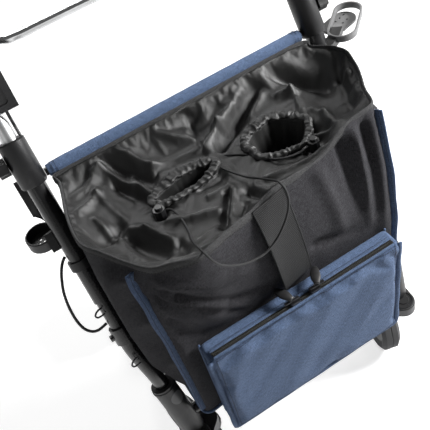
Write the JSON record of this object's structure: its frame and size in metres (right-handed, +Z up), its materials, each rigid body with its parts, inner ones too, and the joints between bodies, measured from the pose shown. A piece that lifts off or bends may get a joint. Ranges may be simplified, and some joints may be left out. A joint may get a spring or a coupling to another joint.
{
  "type": "shopping rollator",
  "caption": "Walking frame on castors with an open shopping bag hung between raked tubes, a front pocket, a telescopic handle frame, brakes, a cane cup and a bottle holder.",
  "frame": {"origin": "middle of the footprint of the frame and bag, on the ground under the wheels; the free drawcords are not counted", "axes": "+X to the right seen from the pocket side, -Y towards the pocket, +Z up"},
  "size_m": [0.6126, 0.5827, 0.8],
  "materials": {
    "frame_black": "gloss black powder coat",
    "plastic_black": "satin black moulding",
    "aluminium": "bright polished",
    "steel": "zinc plated",
    "tyre_grey": "soft grey tread with one groove",
    "rim_grey": "matte grey moulding",
    "grey_plastic": "satin grey moulding",
    "fabric_black": "heathered black woven polyester",
    "liner_black": "glossy black polyester lining",
    "fabric_blue": "heathered blue woven polyester",
    "cord_black": "black braid and webbing"
  },
  "bodies": {
    "frame": {"crossbar": "frame_black", "lower_crossbar": "frame_black", "bag_shell": "fabric_black", "bag_base_board": "plastic_black", "bag_liner": "liner_black", "bar_cover": "fabric_blue", "front_pocket": "fabric_blue", "pocket_zip": "plastic_black", "webbing_strap": "cord_black", "drawcord_long": "cord_black", "drawcord_short": "cord_black", "cane_cup": "plastic_black", "holder_band": "grey_plastic", "bottle_holder": "plastic_black", "front_tube_left": "frame_black", "tube_sleeve_left": "plastic_black", "lower_tube_left": "frame_black", "castor_head_left": "plastic_black", "brake_cable_loop_left": "cord_black", "cord_lock_left": "plastic_black", "front_tube_right": "frame_black", "tube_sleeve_right": "plastic_black", "lower_tube_right": "frame_black", "castor_head_right": "plastic_black", "brake_cable_loop_right": "cord_black", "cord_lock_right": "plastic_black"},
    "handle": {"handle_stem_left": "aluminium", "handle_housing_left": "plastic_black", "grip_left": "plastic_black", "brake_cable_upper_left": "cord_black", "handle_stem_right": "aluminium", "handle_housing_right": "plastic_black", "grip_right": "plastic_black", "brake_cable_upper_right": "cord_black"},
    "brake_bar": {"brake_bar": "aluminium"},
    "rear_frame": {"rear_crossbar": "frame_black", "rear_leg_left": "frame_black", "rear_leg_right": "frame_black"},
    "height_knob_left": {"height_knob_left": "plastic_black"},
    "brace_collar_left": {"brace_collar_left": "plastic_black"},
    "brace_strut_left": {"brace_strut_left": "steel"},
    "rear_wheel_left": {"rear_tyre_left": "tyre_grey", "rear_rim_left": "rim_grey"},
    "brake_shoe_left": {"brake_shoe_left": "plastic_black"},
    "castor_fork_left": {"castor_fork_left": "plastic_black"},
    "castor_wheel_left": {"castor_tyre_left": "tyre_grey", "castor_rim_left": "rim_grey"},
    "zip_slider_left": {"zip_slider_left": "steel"},
    "cord_lock_button_left": {"cord_lock_button_left": "plastic_black"},
    "height_knob_right": {"height_knob_right": "plastic_black"},
    "brace_collar_right": {"brace_collar_right": "plastic_black"},
    "brace_strut_right": {"brace_strut_right": "steel"},
    "rear_wheel_right": {"rear_tyre_right": "tyre_grey", "rear_rim_right": "rim_grey"},
    "brake_shoe_right": {"brake_shoe_right": "plastic_black"},
    "castor_fork_right": {"castor_fork_right": "plastic_black"},
    "castor_wheel_right": {"castor_tyre_right": "tyre_grey", "castor_rim_right": "rim_grey"},
    "zip_slider_right": {"zip_slider_right": "steel"},
    "cord_lock_button_right": {"cord_lock_button_right": "plastic_black"}
  },
  "joints": [
    {"name": "handle_slide", "type": "slide", "parent": "frame", "child": "handle", "axis": [0, 0.4179, 0.9085], "range_m": [0, 0.14]},
    {"name": "brake_bar_hinge", "type": "hinge", "parent": "handle", "child": "brake_bar", "pos_m": [-0.02654, 0.06261, 0.78824], "axis": [-1, 0, 0], "range_deg": [0, 20], "stiffness_Nm_per_rad": 4, "springref_deg": -5.73},
    {"name": "rear_fold", "type": "hinge", "parent": "frame", "child": "rear_frame", "pos_m": [-0.02654, -0.13228, 0.38197], "axis": [-1, 0, 0], "range_deg": [0, 35]},
    {"name": "height_knob_turn_left", "type": "hinge", "parent": "frame", "child": "height_knob_left", "pos_m": [-0.25454, -0.01026, 0.64726], "axis": [-1, 0, 0], "range_deg": [-180, 0]},
    {"name": "brace_collar_slide_left", "type": "slide", "parent": "frame", "child": "brace_collar_left", "axis": [0, -0.4179, -0.9085], "range_m": [0, 0.0496]},
    {"name": "brace_strut_hinge_left", "type": "hinge", "parent": "brace_collar_left", "child": "brace_strut_left", "pos_m": [-0.23954, -0.05468, 0.48607], "axis": [-1, 0, 0], "range_deg": [0, 16.1]},
    {"name": "rear_wheel_spin_left", "type": "hinge", "parent": "rear_frame", "child": "rear_wheel_left", "pos_m": [-0.23554, 0.21221, 0.075], "axis": [1, 0, 0], "continuous": true},
    {"name": "brake_shoe_slide_left", "type": "slide", "parent": "rear_frame", "child": "brake_shoe_left", "axis": [0, 0.7466, -0.6653], "range_m": [0, 0.0025]},
    {"name": "castor_swivel_left", "type": "hinge", "parent": "frame", "child": "castor_fork_left", "pos_m": [-0.21054, -0.20879, 0.165], "axis": [0, 0, 1], "continuous": true},
    {"name": "castor_wheel_spin_left", "type": "hinge", "parent": "castor_fork_left", "child": "castor_wheel_left", "pos_m": [-0.22478, -0.15567, 0.075], "axis": [0.9659, 0.2588, 0], "continuous": true},
    {"name": "zip_slide_left", "type": "slide", "parent": "frame", "child": "zip_slider_left", "axis": [-1, 0, 0], "range_m": [0, 0.11]},
    {"name": "cord_lock_press_left", "type": "slide", "parent": "frame", "child": "cord_lock_button_left", "axis": [0, 0, -1], "range_m": [0, 0.004], "stiffness_N_per_m": 700, "springref_m": -0.001},
    {"name": "height_knob_turn_right", "type": "hinge", "parent": "frame", "child": "height_knob_right", "pos_m": [0.20146, -0.01026, 0.64726], "axis": [1, 0, 0], "range_deg": [-180, 0]},
    {"name": "brace_collar_slide_right", "type": "slide", "parent": "frame", "child": "brace_collar_right", "axis": [0, -0.4179, -0.9085], "range_m": [0, 0.0496]},
    {"name": "brace_strut_hinge_right", "type": "hinge", "parent": "brace_collar_right", "child": "brace_strut_right", "pos_m": [0.18646, -0.05468, 0.48607], "axis": [-1, 0, 0], "range_deg": [0, 16.1]},
    {"name": "rear_wheel_spin_right", "type": "hinge", "parent": "rear_frame", "child": "rear_wheel_right", "pos_m": [0.18246, 0.21221, 0.075], "axis": [1, 0, 0], "continuous": true},
    {"name": "brake_shoe_slide_right", "type": "slide", "parent": "rear_frame", "child": "brake_shoe_right", "axis": [0, 0.7466, -0.6653], "range_m": [0, 0.0025]},
    {"name": "castor_swivel_right", "type": "hinge", "parent": "frame", "child": "castor_fork_right", "pos_m": [0.15746, -0.20879, 0.165], "axis": [0, 0, 1], "continuous": true},
    {"name": "castor_wheel_spin_right", "type": "hinge", "parent": "castor_fork_right", "child": "castor_wheel_right", "pos_m": [0.17169, -0.15567, 0.075], "axis": [0.9659, -0.2588, 0], "continuous": true},
    {"name": "zip_slide_right", "type": "slide", "parent": "frame", "child": "zip_slider_right", "axis": [1, 0, 0], "range_m": [0, 0.11]},
    {"name": "cord_lock_press_right", "type": "slide", "parent": "frame", "child": "cord_lock_button_right", "axis": [0, 0, -1], "range_m": [0, 0.004], "stiffness_N_per_m": 700, "springref_m": -0.001}
  ],
  "couplings": [
    {"joint": "brace_collar_slide_left", "follows": "rear_fold", "m_per_rad": 0.0809},
    {"joint": "brace_strut_hinge_left", "follows": "rear_fold", "ratio": 0.45714},
    {"joint": "brake_shoe_slide_left", "follows": "brake_bar_hinge", "m_per_rad": 0.00688},
    {"joint": "brace_collar_slide_right", "follows": "rear_fold", "m_per_rad": 0.0809},
    {"joint": "brace_strut_hinge_right", "follows": "rear_fold", "ratio": 0.45714},
    {"joint": "brake_shoe_slide_right", "follows": "brake_bar_hinge", "m_per_rad": 0.00688}
  ]
}
